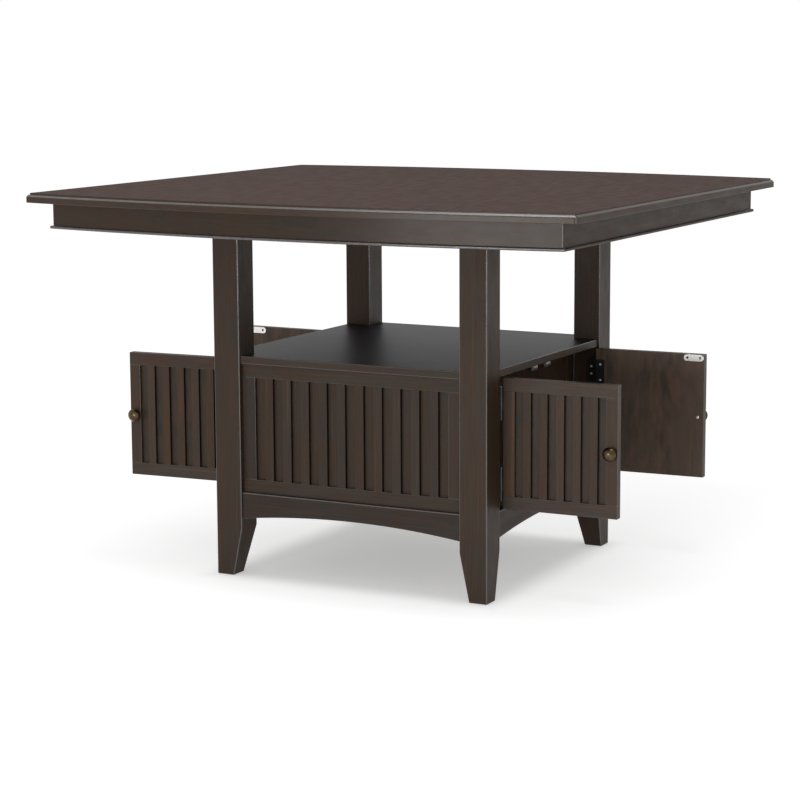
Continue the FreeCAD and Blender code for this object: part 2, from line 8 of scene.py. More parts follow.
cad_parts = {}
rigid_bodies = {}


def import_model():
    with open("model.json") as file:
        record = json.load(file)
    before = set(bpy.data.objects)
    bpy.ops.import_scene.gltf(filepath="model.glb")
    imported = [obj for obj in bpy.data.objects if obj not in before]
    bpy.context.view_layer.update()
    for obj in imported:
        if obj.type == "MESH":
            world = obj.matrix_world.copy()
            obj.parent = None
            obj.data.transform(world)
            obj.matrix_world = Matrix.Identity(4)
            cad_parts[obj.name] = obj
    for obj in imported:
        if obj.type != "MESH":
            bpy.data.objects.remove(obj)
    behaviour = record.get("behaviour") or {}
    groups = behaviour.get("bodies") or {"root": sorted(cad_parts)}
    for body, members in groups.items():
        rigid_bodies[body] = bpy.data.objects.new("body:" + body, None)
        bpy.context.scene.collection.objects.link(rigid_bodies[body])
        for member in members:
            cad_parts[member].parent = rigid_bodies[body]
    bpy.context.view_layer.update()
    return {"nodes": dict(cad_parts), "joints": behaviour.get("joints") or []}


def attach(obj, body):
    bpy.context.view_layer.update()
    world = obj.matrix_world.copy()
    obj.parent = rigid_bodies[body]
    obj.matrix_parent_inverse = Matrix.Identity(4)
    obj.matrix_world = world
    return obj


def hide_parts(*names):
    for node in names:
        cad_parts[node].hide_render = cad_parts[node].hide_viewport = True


# Kitchen table with a storage cabinet between its legs: espresso-stained hardwood under a satin
# lacquer, antique brass knobs, black wrap-round hinges and nickel strike plates. The doors stand
# open. The boards and hinge leaves of the doors are eased copies of the CAD solids. The rest of
# each door is shaped on the closed right front door, then mirrored and turned open.

for leftover in list(bpy.data.objects):
    bpy.data.objects.remove(leftover)

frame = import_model()
nodes = frame["nodes"]
MM = 0.001


# ---------------------------------------------------------------- places worked out from the frame

def closed_to_open(joint):
    """Turn that takes a closed door to where it stands at rest."""
    pivot = Vector(joint["pos_m"])
    swing = math.radians(-joint["range_deg"][0]) * joint["axis"][2]
    return Matrix.Translation(pivot) @ Matrix.Rotation(swing, 4, "Z") @ Matrix.Translation(-pivot)


def levels(node, axis, back=Matrix()):
    """Sorted places along one axis where a CAD node has corners."""
    found = []
    for value in sorted((back @ vertex.co)[axis] for vertex in nodes[node].data.vertices):
        if not found or value - found[-1] > 0.05 * MM:
            found.append(value)
    return found


DOOR_TURN = {}
DOOR_PLACE = {}
for joint in frame["joints"]:
    door = joint["child"][len("door_"):]
    side = Matrix.Diagonal((math.copysign(1, joint["pos_m"][0]), -math.copysign(1, joint["pos_m"][1]), 1, 1))
    DOOR_TURN[door] = closed_to_open(joint)
    DOOR_PLACE[door] = DOOR_TURN[door] @ side

CLOSE = DOOR_TURN["right_front"].inverted()
HINGE_AXIS = Vector([abs(place) for place in frame["joints"][0]["pos_m"]])
FOUR_CORNERS = [Matrix.Diagonal((x, y, 1, 1)) for x in (1, -1) for y in (1, -1)]


# ---------------------------------------------------------------- finishes

def linear(colour):
    """sRGB hex colour to a linear RGBA value."""
    parts = [int(colour[i:i + 2], 16) / 255 for i in (1, 3, 5)]
    return [p / 12.92 if p <= 0.04045 else ((p + 0.055) / 1.055) ** 2.4 for p in parts] + [1]


def add(tree, kind, sockets=None, **settings):
    """Add a shader node, set its settings, and set or link its sockets."""
    node = tree.nodes.new("ShaderNode" + kind)
    for name, value in settings.items():
        setattr(node, name, value)
    for socket, value in (sockets or {}).items():
        if isinstance(value, bpy.types.NodeSocket):
            tree.links.new(value, node.inputs[socket])
        else:
            node.inputs[socket].default_value = value
    return node


def blank_finish(name):
    """New material with only its Principled shader and output."""
    material = bpy.data.materials.new(name)
    material.use_nodes = True
    tree = material.node_tree
    return material, tree, tree.nodes["Principled BSDF"]


GRAIN_TURN = {
    "X": Matrix.Rotation(math.radians(-90), 4, "Y"),
    "Y": Matrix.Rotation(math.radians(90), 4, "X"),
    "Z": Matrix(),
}


def stained_wood(name, grain, turn=Matrix(), roughness=0.48, gloss=0.18, shade=1.0, warm="#4A3A2C",
                 lines=0.38, streaks=0.45, relief_mm=0.12, uneven=0.045, cool="#3D362F",
                 middle="#49382F"):
    """Espresso stain wiped on hardwood under satin lacquer: a dark brown that drifts between
    red, olive and grey where the wood took more or less stain, with fine darker fibres, a few
    honey streaks and short pores along the grain. The flanks of the slats are painted near black:
    painted shade in the narrow grooves between them. Whole faces can also be drawn lighter or darker."""
    material, tree, shader = blank_finish(name)
    here = add(tree, "TexCoord").outputs["Object"]
    own_stick = add(tree, "Attribute", attribute_name="stick").outputs["Fac"]
    frame_of = GRAIN_TURN[grain] @ turn.inverted()
    along_z = add(tree, "Mapping", {"Vector": here, "Location": frame_of.to_translation(),
                                    "Rotation": frame_of.to_euler()}).outputs["Vector"]
    offset = add(tree, "CombineXYZ", {"X": own_stick, "Y": own_stick, "Z": own_stick}).outputs["Vector"]
    shifted = add(tree, "VectorMath", {0: along_z, 1: offset}, operation="ADD").outputs["Vector"]

    def grain_pattern(across_mm, along_mm, detail, low, high, rough=0.5):
        """Pattern from 0 to 1 whose features have a real size across and along the grain."""
        scale = (1 / (across_mm * MM), 1 / (across_mm * MM), 1 / (along_mm * MM))
        sized = add(tree, "VectorMath", {0: shifted, 1: scale}, operation="MULTIPLY").outputs["Vector"]
        settings = {"Vector": sized, "Scale": 1.0, "Detail": detail, "Roughness": rough}
        figure = add(tree, "TexNoise", settings).outputs["Fac"]
        limits = {"Value": figure, "From Min": low, "From Max": high}
        return add(tree, "MapRange", limits).outputs["Result"]

    cloud = grain_pattern(70, 190, 2.0, 0.36, 0.64)
    patch = grain_pattern(19, 62, 3.0, 0.34, 0.66, 0.55)
    fibre = grain_pattern(2.2, 95, 3.0, 0.3, 0.7, 0.6)
    honey = grain_pattern(6.5, 330, 2.0, 0.6, 0.74)
    pore = grain_pattern(0.8, 13, 2.0, 0.62, 0.72, 0.6)
    arris_wear_and_flank_shade = add(tree, "Attribute", attribute_name="arris_wear_and_flank_shade").outputs["Fac"]

    # Layers of stain, and last the painted shade on the flanks of the slats: what each follows, from
    # which to which value of it, how strong the layer is at both ends, and its colour
    layers = ((cloud, 0, 1, 0.0, 0.6, warm),
              (honey, 0, 1, 0.0, streaks, "#6A5136"),
              (fibre, 0, 1, lines, 0.0, "#221B17"),
              (pore, 0, 1, 0.0, 0.5, "#1A1512"),
              (arris_wear_and_flank_shade, -1, 0, 0.85, 0.0, "#100D0C"))
    tones = {0: patch, 6: linear(cool), 7: linear(middle)}
    colour = add(tree, "Mix", tones, data_type="RGBA").outputs[2]
    for follows, low, high, at_low, at_high, stain in layers:
        limits = {"Value": follows, "From Min": low, "From Max": high, "To Min": at_low, "To Max": at_high}
        share = add(tree, "MapRange", limits).outputs["Result"]
        tones = {0: share, 6: colour, 7: linear(stain)}
        colour = add(tree, "Mix", tones, data_type="RGBA").outputs[2]

    # Every stick took the stain a little differently, in depth and in warmth
    own = add(tree, "TexWhiteNoise", {"W": own_stick}, noise_dimensions="1D").outputs["Value"]
    limits = {"Value": own, "To Min": 0.86 * shade, "To Max": 1.14 * shade}
    depth = add(tree, "MapRange", limits).outputs["Result"]
    # Faces noted lighter or darker: painted light on inside faces in shade, painted shade in recesses and on
    # the arched rails, and elsewhere just lighter or darker
    lift = add(tree, "Attribute", attribute_name="lift").outputs["Fac"]
    lifted = add(tree, "Math", {0: depth, 1: lift}, operation="ADD").outputs[0]
    other_stick = add(tree, "Math", {0: own_stick, 1: 3.7}, operation="ADD").outputs[0]
    other = add(tree, "TexWhiteNoise", {"W": other_stick}, noise_dimensions="1D").outputs["Value"]
    warmth = add(tree, "MapRange", {"Value": other, "To Min": 0.92, "To Max": 1.25}).outputs["Result"]
    toned = add(tree, "HueSaturation", {"Color": colour, "Saturation": warmth, "Value": lifted})
    tree.links.new(toned.outputs["Color"], shader.inputs["Base Color"])

    shader.inputs["IOR"].default_value = 1.5
    shader.inputs["Specular IOR Level"].default_value = gloss
    limits = {"Value": patch, "To Min": roughness - uneven, "To Max": roughness + uneven}
    satin = add(tree, "MapRange", limits).outputs["Result"]
    tree.links.new(satin, shader.inputs["Roughness"])
    pore_depth = add(tree, "MapRange", {"Value": pore, "To Max": 1.5}).outputs["Result"]
    relief = add(tree, "Math", {0: fibre, 1: pore_depth}, operation="SUBTRACT").outputs[0]
    bump = add(tree, "Bump", {"Height": relief, "Strength": 0.35, "Distance": relief_mm * MM})
    tree.links.new(bump.outputs["Normal"], shader.inputs["Normal"])
    return material


def rubbed_arris():
    """Edge of stained hardwood where sanding thinned the stain and the rag burnished the lacquer:
    about as dark as the faces but greyer, and glossy enough to draw a fine bright line."""
    material, tree, shader = blank_finish("burnished_arris")
    here = add(tree, "TexCoord").outputs["Object"]
    wear = add(tree, "TexNoise", {"Vector": here, "Scale": 1 / (18 * MM), "Detail": 3.0}).outputs["Fac"]
    limits = {"Value": wear, "From Min": 0.35, "From Max": 0.65}
    share = add(tree, "MapRange", limits).outputs["Result"]
    tones = {0: share, 6: linear("#3B3430"), 7: linear("#4A4440")}
    colour = add(tree, "Mix", tones, data_type="RGBA").outputs[2]
    tree.links.new(colour, shader.inputs["Base Color"])
    burnish = add(tree, "MapRange", {"Value": share, "To Min": 0.27, "To Max": 0.21}).outputs["Result"]
    tree.links.new(burnish, shader.inputs["Roughness"])
    shader.inputs["IOR"].default_value = 1.5
    shader.inputs["Specular IOR Level"].default_value = 1.0
    return material


GROWTH_BAND_MM = 11.1
GROWTH_BAND_LONG_MM = 143


def bare_wood(name, grain):
    """Planed, unstained hardwood: pale straw brown with soft growth bands."""
    material, tree, shader = blank_finish(name)
    here = add(tree, "TexCoord").outputs["Object"]
    turn = GRAIN_TURN[grain].to_euler()
    turned = add(tree, "Mapping", {"Vector": here, "Rotation": turn}).outputs["Vector"]
    across = 1 / (GROWTH_BAND_MM * MM)
    scale = (across, across, 1 / (GROWTH_BAND_LONG_MM * MM))
    sized = add(tree, "VectorMath", {0: turned, 1: scale}, operation="MULTIPLY").outputs["Vector"]
    bands = add(tree, "TexNoise", {"Vector": sized, "Scale": 1.0, "Detail": 4.0}).outputs["Fac"]
    limits = {"Value": bands, "From Min": 0.35, "From Max": 0.65}
    share = add(tree, "MapRange", limits).outputs["Result"]
    tones = {0: share, 6: linear("#B08A5E"), 7: linear("#C9A678")}
    colour = add(tree, "Mix", tones, data_type="RGBA").outputs[2]
    tree.links.new(colour, shader.inputs["Base Color"])
    shader.inputs["Roughness"].default_value = 0.7
    shader.inputs["Specular IOR Level"].default_value = 0.3
    return material


def metal(name, light, dark, roughness, wear_mm=4.0):
    """Metal whose plating drifts a little between two tones."""
    material, tree, shader = blank_finish(name)
    here = add(tree, "TexCoord").outputs["Object"]
    scale = 1 / (wear_mm * MM)
    drift = add(tree, "TexNoise", {"Vector": here, "Scale": scale, "Detail": 3.0}).outputs["Fac"]
    limits = {"Value": drift, "From Min": 0.35, "From Max": 0.65}
    share = add(tree, "MapRange", limits).outputs["Result"]
    tones = {0: share, 6: linear(light), 7: linear(dark)}
    colour = add(tree, "Mix", tones, data_type="RGBA").outputs[2]
    tree.links.new(colour, shader.inputs["Base Color"])
    shader.inputs["Metallic"].default_value = 1.0
    limits = {"Value": share, "To Min": roughness, "To Max": roughness + 0.08}
    worn = add(tree, "MapRange", limits).outputs["Result"]
    tree.links.new(worn, shader.inputs["Roughness"])
    return material


MOULD_SHEEN_MM = 6.25


def plastic(name, light, dark, roughness):
    """Moulded plastic with a faint uneven sheen from the mould."""
    material, tree, shader = blank_finish(name)
    here = add(tree, "TexCoord").outputs["Object"]
    scale = 1 / (MOULD_SHEEN_MM * MM)
    drift = add(tree, "TexNoise", {"Vector": here, "Scale": scale, "Detail": 2.0}).outputs["Fac"]
    tones = {0: drift, 6: linear(light), 7: linear(dark)}
    colour = add(tree, "Mix", tones, data_type="RGBA").outputs[2]
    tree.links.new(colour, shader.inputs["Base Color"])
    limits = {"Value": drift, "To Min": roughness, "To Max": roughness + 0.1}
    sheen = add(tree, "MapRange", limits).outputs["Result"]
    tree.links.new(sheen, shader.inputs["Roughness"])
    return material


ORANGE_PEEL_MM = 1.11


def hinge_enamel():
    """Black stoved enamel on pressed steel: near black, semi-gloss, slightly orange-peeled."""
    material, tree, shader = blank_finish("black_hinge_enamel")
    here = add(tree, "TexCoord").outputs["Object"]
    scale = 1 / (ORANGE_PEEL_MM * MM)
    peel = add(tree, "TexNoise", {"Vector": here, "Scale": scale, "Detail": 2.0}).outputs["Fac"]
    tones = {0: peel, 6: linear("#1B1C1F"), 7: linear("#25262A")}
    colour = add(tree, "Mix", tones, data_type="RGBA").outputs[2]
    tree.links.new(colour, shader.inputs["Base Color"])
    shader.inputs["Roughness"].default_value = 0.32
    bump = add(tree, "Bump", {"Height": peel, "Strength": 0.2, "Distance": 0.05 * MM})
    tree.links.new(bump.outputs["Normal"], shader.inputs["Normal"])
    return material


RAIL_WARM = "#46403A"
WOOD_X = stained_wood("espresso_stain_grain_x", "X", warm=RAIL_WARM)
WOOD_Y = stained_wood("espresso_stain_grain_y", "Y", gloss=0.14, warm=RAIL_WARM)
WOOD_APRON = stained_wood("espresso_stain_bowed_apron", "X", roughness=0.3, gloss=0.18, lines=0.25,
                          streaks=0.15, shade=0.78, relief_mm=0.015, uneven=0.02)
WOOD_RIM_X = stained_wood("espresso_stain_rim_front", "X", roughness=0.3, gloss=0.22, streaks=0.15,
                          shade=0.85, relief_mm=0.015, uneven=0.02)
WOOD_RIM_Y = stained_wood("espresso_stain_rim_side", "Y", roughness=0.42, gloss=0.12, shade=0.93)
WOOD_Z = stained_wood("espresso_stain_upright", "Z", gloss=0.2, shade=0.87)
WOOD_TOP = stained_wood("espresso_stain_tabletop", "Y", roughness=0.62, gloss=0.03, shade=0.9,
                        warm="#4D352E", streaks=0.2, relief_mm=0.04, cool="#40342F", middle="#4B372F")
# The shelf's grey, lilac-tinged stain is painted sheen: it stands in for the cool reflection along its top.
WOOD_SHELF_PAINTED_SHEEN = stained_wood("espresso_stain_shelf_painted_sheen", "X", roughness=0.43, gloss=0.085, shade=0.64,
                          relief_mm=0.01, uneven=0.008, cool="#38363A", middle="#3E383A",
                          warm="#3C3A40", streaks=0.1)
DOOR_PANEL = {}
DOOR_RAILS = {}
DOOR_UPRIGHT = {}
for door, opened in DOOR_TURN.items():
    DOOR_PANEL[door] = stained_wood("espresso_stain_ply_" + door, "Z", opened, cool="#35302B",
                                    middle="#4E4038", warm="#494039", lines=0.14, streaks=0.2,
                                    relief_mm=0.05)
    DOOR_RAILS[door] = stained_wood("espresso_stain_rails_" + door, "Y", opened, warm=RAIL_WARM)
    DOOR_UPRIGHT[door] = stained_wood("espresso_stain_upright_" + door, "Z", opened)
ARRIS = rubbed_arris()
BARE = bare_wood("bare_hardwood", "Z")

# Turned brass, darkened in a bath and buffed: brown, with a warm gleam on the dome
BRASS = metal("antique_brass", "#5C4F3A", "#46392A", 0.24, 9.0)
# Nickel on rolled steel: pale and silky, a blurred mirror
NICKEL = metal("nickel_plate", "#E6E5E2", "#DAD9D6", 0.3, 12.0)
# Screws blackened in hot oxide: dark dots on the bright strike plates
BLACK_SCREW = metal("black_oxide_screw", "#3C3C3E", "#2B2B2D", 0.35)
# Steel pin whose blacking is worn down to grey: a dull gleam between the black leaves
BARREL = metal("blackened_steel_pin", "#A5A5A8", "#86868A", 0.3)
# Moulded plastics: the catch's dull brown case, the white holder of its magnet, a dark brown glide
CATCH = plastic("brown_catch_plastic", "#4A4038", "#3D342D", 0.45)
INSERT = plastic("white_catch_insert", "#DEDCD6", "#D0CEC8", 0.4)
GLIDE = plastic("brown_glide_plastic", "#3A302A", "#302823", 0.5)
ENAMEL = hinge_enamel()


# ---------------------------------------------------------------- making pieces

def wood_notes(bm):
    """Layers that note for each face whether it is a rubbed arris (1) or a groove's flank painted dark
    as shade (-1), and how much lighter or darker it is drawn, painted light or shade on some faces."""
    arris_wear_and_flank_shade = bm.faces.layers.float.get("arris_wear_and_flank_shade") or bm.faces.layers.float.new("arris_wear_and_flank_shade")
    lift = bm.faces.layers.float.get("lift") or bm.faces.layers.float.new("lift")
    return arris_wear_and_flank_shade, lift


def ease_edges(bm, edges, width, segments=2, clamp=False):
    """Round off some edges, and give the faces that this makes."""
    return bmesh.ops.bevel(bm, geom=edges, offset=width, segments=segments, profile=0.5,
                           affect="EDGES", material=-1, clamp_overlap=clamp)["faces"]


def edges_sharper_than(bm, degrees):
    """Edges where two faces meet at more than an angle."""
    least = math.radians(degrees)
    return [edge for edge in bm.edges if edge.is_manifold and edge.calc_face_angle() > least]


def stick(bm, low, high, ease, seed, face_material=0, painted_shade_flank_axis=None, lift=0.0, worn=1.0):
    """One planed stick of wood between two corners, its arrises eased, with its own piece of tree. Its
    flanks along a given axis are marked for painted shade, as in a groove.
    """
    own = bm.verts.layers.float.get("stick") or bm.verts.layers.float.new("stick")
    arris_wear_and_flank_shade, tint = wood_notes(bm)
    made = bmesh.ops.create_cube(bm, size=1.0)["verts"]
    middle = (Vector(low) + Vector(high)) / 2
    bmesh.ops.scale(bm, verts=made, vec=Vector(high) - Vector(low))
    bmesh.ops.translate(bm, verts=made, vec=middle)
    edges = list({edge for vertex in made for edge in vertex.link_edges})
    before = set(bm.verts) - set(made)
    for face in ease_edges(bm, edges, ease):
        face[arris_wear_and_flank_shade] = worn
    value = random.Random(seed).uniform(1.0, 9.0)
    faces = set()
    for vertex in bm.verts:
        if vertex not in before:
            vertex[own] = value
            faces.update(vertex.link_faces)
    for face in faces:
        face.material_index = face_material
        face[tint] = lift
        if painted_shade_flank_axis is not None and face[arris_wear_and_flank_shade] == 0 and abs(face.normal[painted_shade_flank_axis]) > 0.9:
            face[arris_wear_and_flank_shade] = -1.0


def piece(name, bm, body, materials, at=Matrix(), smooth=None, replaces=()):
    """Put a shape in its place, give it its finish, and let it ride on a body."""
    arris_wear_and_flank_shade = bm.faces.layers.float.get("arris_wear_and_flank_shade")
    if arris_wear_and_flank_shade:
        for face in bm.faces:
            if face[arris_wear_and_flank_shade] > 0.5:
                face.material_index = len(materials)
        materials = materials + [ARRIS]
    bm.transform(at)
    if at.determinant() < 0:
        bmesh.ops.recalc_face_normals(bm, faces=bm.faces)
    mesh = bpy.data.meshes.new(name)
    bm.to_mesh(mesh)
    bm.free()
    for material in materials:
        mesh.materials.append(material)
    if smooth is not None:
        mesh.shade_smooth()
        mesh.set_sharp_from_angle(angle=math.radians(smooth))
    made = bpy.data.objects.new(name, mesh)
    bpy.context.scene.collection.objects.link(made)
    if smooth is not None:
        level_faces = made.modifiers.new("level_faces", "WEIGHTED_NORMAL")
        level_faces.keep_sharp = True
    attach(made, body)
    if replaces:
        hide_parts(*replaces)
    return made


def body_of_door(door):
    """Name of the body that a door's pieces ride on."""
    return "door_" + door


# ---------------------------------------------------------------- eased wood

EASE_LEG = 1.7 * MM
EASE_RAIL = 1.0 * MM
EASE_BOARD = 0.8 * MM
EASE_DOOR_BOARD = 0.7 * MM
EASE_BACK_BOARD = 0.5 * MM
FACET = 2.2 * MM
# The other faces of these boards, in the recesses between the slats and under the cabinet, are drawn darker:
# painted shade.
OUTSIDE_PAINTED_SHADE = -0.12
# Inside faces of the door boards, the cabinet floor and the back boards are drawn much lighter: painted
# light where they stand in shade.
DOOR_BOARD_PAINTED_LIGHT = 1.5
CABINET_FLOOR_PAINTED_LIGHT = 1.4
BACK_BOARD_PAINTED_LIGHT = 1.6


def eased_copy(node, name, width, body, material, slot="stained_wood", lift=0.0, narrow=0.0,
               inside=None):
    """A CAD solid with its sharp arrises taken off, as after sanding. Its faces narrower than
    a given width, such as the facets of a bead, count as arrises too. Where an inside direction
    is given, the faces that look that way are drawn much lighter, painted light where they stand in shade,
    and the others a little darker, painted shade in the recesses and under the cabinet."""
    bm = bmesh.new()
    bm.from_mesh(nodes[node].data)
    bmesh.ops.remove_doubles(bm, verts=bm.verts, dist=0.01 * MM)
    bmesh.ops.dissolve_limit(bm, angle_limit=math.radians(0.3), verts=bm.verts, edges=bm.edges)
    arris_wear_and_flank_shade, tint = wood_notes(bm)
    for face in ease_edges(bm, edges_sharper_than(bm, 35), width, clamp=True):
        face[arris_wear_and_flank_shade] = 1.0
    for face in bm.faces:
        face[tint] = lift if inside is None or face.normal.dot(inside) > 0.8 else OUTSIDE_PAINTED_SHADE
        if 2 * face.calc_area() < narrow * face.calc_perimeter():
            face[arris_wear_and_flank_shade] = 1.0
        if slot != "stained_wood":
            face[arris_wear_and_flank_shade] = 0.0
    return piece(name, bm, body, [material], smooth=40, replaces=[node])


ARCH_CROWN = 158.6 * MM
ARCH_TOP_ROUND = 3 * MM
ARCH_EASE = 0.9 * MM
ARCH_CUTS = 39
# The arched rails are drawn darker: painted shade low down by the floor.
ARCH_PAINTED_SHADE = -0.28
arch_x = levels("arch_rail_back", 0)
arch_y = levels("arch_rail_back", 1)
arch_z = levels("arch_rail_back", 2)


def arched_rail():
    """Back rail whose lower edge is one long arc, its upper front edge rounded over."""
    bm = bmesh.new()
    arris_wear_and_flank_shade, tint = wood_notes(bm)
    bmesh.ops.create_cube(bm, size=1.0)
    low = Vector((arch_x[0], arch_y[0], arch_z[0]))
    high = Vector((arch_x[-1], arch_y[-1], arch_z[-1]))
    bmesh.ops.scale(bm, verts=bm.verts, vec=high - low)
    bmesh.ops.translate(bm, verts=bm.verts, vec=(low + high) / 2)
    lengthwise = [edge for edge in bm.edges if abs(edge.verts[0].co.x - edge.verts[1].co.x) > 0.1]
    bmesh.ops.subdivide_edges(bm, edges=lengthwise, cuts=ARCH_CUTS)
    for vertex in bm.verts:
        if vertex.co.z < low.z + 0.1 * MM:
            vertex.co.z = ARCH_CROWN - (ARCH_CROWN - low.z) * (vertex.co.x / high.x) ** 2
    bm.normal_update()

    def is_top_front(edge):
        return all(v.co.z > high.z - 0.1 * MM and v.co.y > high.y - 0.1 * MM for v in edge.verts)

    top_front = [edge for edge in bm.edges if is_top_front(edge)]
    for face in ease_edges(bm, top_front, ARCH_TOP_ROUND, segments=4):
        face[arris_wear_and_flank_shade] = 1.0
    for face in ease_edges(bm, edges_sharper_than(bm, 60), ARCH_EASE, clamp=True):
        face[arris_wear_and_flank_shade] = 1.0
    for face in bm.faces:
        face[tint] = ARCH_PAINTED_SHADE
    return bm


for count, side in enumerate(("back", "left", "front", "right")):
    piece("arched_rail_" + side, arched_rail(), "root", [WOOD_Y if count % 2 else WOOD_X],
          Matrix.Rotation(math.radians(90 * count), 4, "Z"), smooth=40, replaces=["arch_rail_" + side])
for side in ("front", "back"):
    eased_copy("apron_" + side, "apron_board_" + side, EASE_BOARD, "root", WOOD_APRON, narrow=FACET)
for side in ("left", "right"):
    eased_copy("apron_" + side, "apron_board_" + side, EASE_BOARD, "root", WOOD_Y)
for corner in ("right_front", "right_back", "left_front", "left_back"):
    eased_copy("leg_" + corner, "square_leg_" + corner, EASE_LEG, "root", WOOD_Z, narrow=FACET)
    eased_copy("door_board_" + corner, "door_panel_" + corner, EASE_DOOR_BOARD, body_of_door(corner),
               DOOR_PANEL[corner], lift=DOOR_BOARD_PAINTED_LIGHT,
               inside=DOOR_PLACE[corner].to_3x3() @ Vector((-1, 0, 0)))
shelf = eased_copy("cabinet_top", "cabinet_shelf", EASE_RAIL, "root", WOOD_SHELF_PAINTED_SHEEN, narrow=FACET)
shelf.data.materials.append(WOOD_X)
for polygon in shelf.data.polygons:
    if polygon.material_index == 0 and abs(polygon.normal.z) < 0.5:
        polygon.material_index = 2


top_z = levels("tabletop", 2)
ROUND_R = 6 * MM
ROUND_LOW = top_z[-1] - 8 * MM
STEP_DROP = 2 * MM
PLANED_FROM = math.radians(16.3)


def moulded_top():
    """The tabletop, its moulded rim in the finish of its edging strips. The rim's round is lowered
    under a deeper step, and its middle was planed to a flat that draws one bright line."""
    bm = bmesh.new()
    bm.from_mesh(nodes["tabletop"].data)
    bmesh.ops.remove_doubles(bm, verts=bm.verts, dist=0.01 * MM)
    bmesh.ops.dissolve_limit(bm, angle_limit=math.radians(0.2), verts=bm.verts, edges=bm.edges)
    arris_wear_and_flank_shade, tint = wood_notes(bm)
    bm.normal_update()
    moves = []
    for vertex in bm.verts:
        rise = (vertex.co.z - ROUND_LOW) / ROUND_R
        if -0.02 < rise < 1.02:
            slope = math.asin(min(max(rise, 0.0), 1.0))
            out = Vector((vertex.normal.x, vertex.normal.y, 0)).normalized()
            shift = Vector((0, 0, -STEP_DROP))
            if PLANED_FROM < slope < math.pi / 2 - PLANED_FROM:
                chord = math.cos(PLANED_FROM) + math.sin(PLANED_FROM) - math.sin(slope)
                shift -= out * ROUND_R * (math.cos(slope) - chord)
            if slope > 0.02 or vertex.normal.z > 0.02:
                moves.append((vertex, shift))
    for vertex, shift in moves:
        vertex.co += shift
    bm.normal_update()
    for face in bm.faces:
        if abs(face.normal.z) < 0.95 or face.calc_area() < 0.1:
            face.material_index = 1 if abs(face.normal.y) > abs(face.normal.x) else 2
        if 0.6 < face.normal.z < 0.8 and face.calc_center_median().z < ROUND_LOW + ROUND_R - STEP_DROP:
            face[arris_wear_and_flank_shade] = 1.0 if abs(face.normal.y) > abs(face.normal.x) else 0.0
            face.material_index = 1
        if min(abs(face.normal.x), abs(face.normal.y)) > 0.45:
            face[arris_wear_and_flank_shade] = 1.0
    return piece("moulded_tabletop", bm, "root", [WOOD_TOP, WOOD_RIM_X, WOOD_RIM_Y],
                 smooth=15, replaces=["tabletop"])


moulded_top()
eased_copy("cabinet_floor", "cabinet_floor_board", EASE_BOARD, "root", WOOD_X, lift=CABINET_FLOOR_PAINTED_LIGHT,
           inside=Vector((0, 0, 1)))
for side, inwards in (("front", 1), ("back", -1)):
    eased_copy("panel_board_" + side, "panel_back_board_" + side, EASE_BACK_BOARD, "root", WOOD_Z,
               lift=BACK_BOARD_PAINTED_LIGHT, inside=Vector((0, inwards, 0)))
    eased_copy("frame_rail_" + side, "frame_rail_planed_" + side, EASE_RAIL, "root", WOOD_X)
for side in ("left", "right"):
    eased_copy("frame_rail_" + side, "frame_rail_planed_" + side, EASE_RAIL, "root", WOOD_Y)
for node in ("apron_glue_blocks", "frame_corner_blocks", "floor_cleats"):
    eased_copy(node, node + "_planed", EASE_RAIL, "root", BARE, "plain_wood")


# ---------------------------------------------------------------- slatted faces

EASE_STILE = 0.6 * MM
EASE_SLAT = 1.0 * MM
PANEL_TINT = -0.07
DOOR_FRAME_TINT = 0.3
DOOR_SLAT_TINT = 0.2


def framed_sticks(across, upright, depth, axis, ease, seed, lift=0.0):
    """Rails and stiles of one face: two full-width rails with two stiles between them."""
    bm = bmesh.new()
    w0, w1, w2, w3 = across
    z0, z1, z2, z3 = upright
    parts = [(w0, w3, z0, z1, 0), (w0, w3, z2, z3, 0), (w0, w1, z1, z2, 1), (w2, w3, z1, z2, 1)]
    for count, (wa, wb, za, zb, index) in enumerate(parts):
        low = (wa, depth[0], za) if axis == 0 else (depth[0], wa, za)
        high = (wb, depth[1], zb) if axis == 0 else (depth[1], wb, zb)
        stick(bm, low, high, ease, seed + str(count), index, lift=lift)
    return bm


def raised_slats(starts, ends, upright, depth, axis, ease, seed, lift=0.0):
    """The row of raised slats of one face."""
    bm = bmesh.new()
    for count, (wa, wb) in enumerate(zip(starts, ends)):
        low = (wa, depth[0], upright[0]) if axis == 0 else (depth[0], wa, upright[0])
        high = (wb, depth[1], upright[1]) if axis == 0 else (depth[1], wb, upright[1])
        stick(bm, low, high, ease, seed + str(count), painted_shade_flank_axis=axis, lift=lift, worn=0.0)
    return bm


def outer_four(values):
    """Both ends of a row of places, and the next one in from each."""
    return values[0], values[1], values[-2], values[-1]


for side in ("front", "back"):
    across = outer_four(levels("panel_frame_" + side, 0))
    upright = outer_four(levels("panel_frame_" + side, 2))
    depth = (levels("panel_frame_" + side, 1)[0], levels("panel_frame_" + side, 1)[-1])
    slats = levels("panel_slats_" + side, 0)
    piece("panel_rails_and_stiles_" + side,
          framed_sticks(across, upright, depth, 0, EASE_STILE, "panel" + side, PANEL_TINT),
          "root", [WOOD_X, WOOD_Z], replaces=["panel_frame_" + side])
    piece("panel_raised_slats_" + side,
          raised_slats(slats[0::4], slats[3::4], upright[1:3], depth, 0, EASE_SLAT, "slats" + side,
                       PANEL_TINT),
          "root", [WOOD_Z], replaces=["panel_slats_" + side])

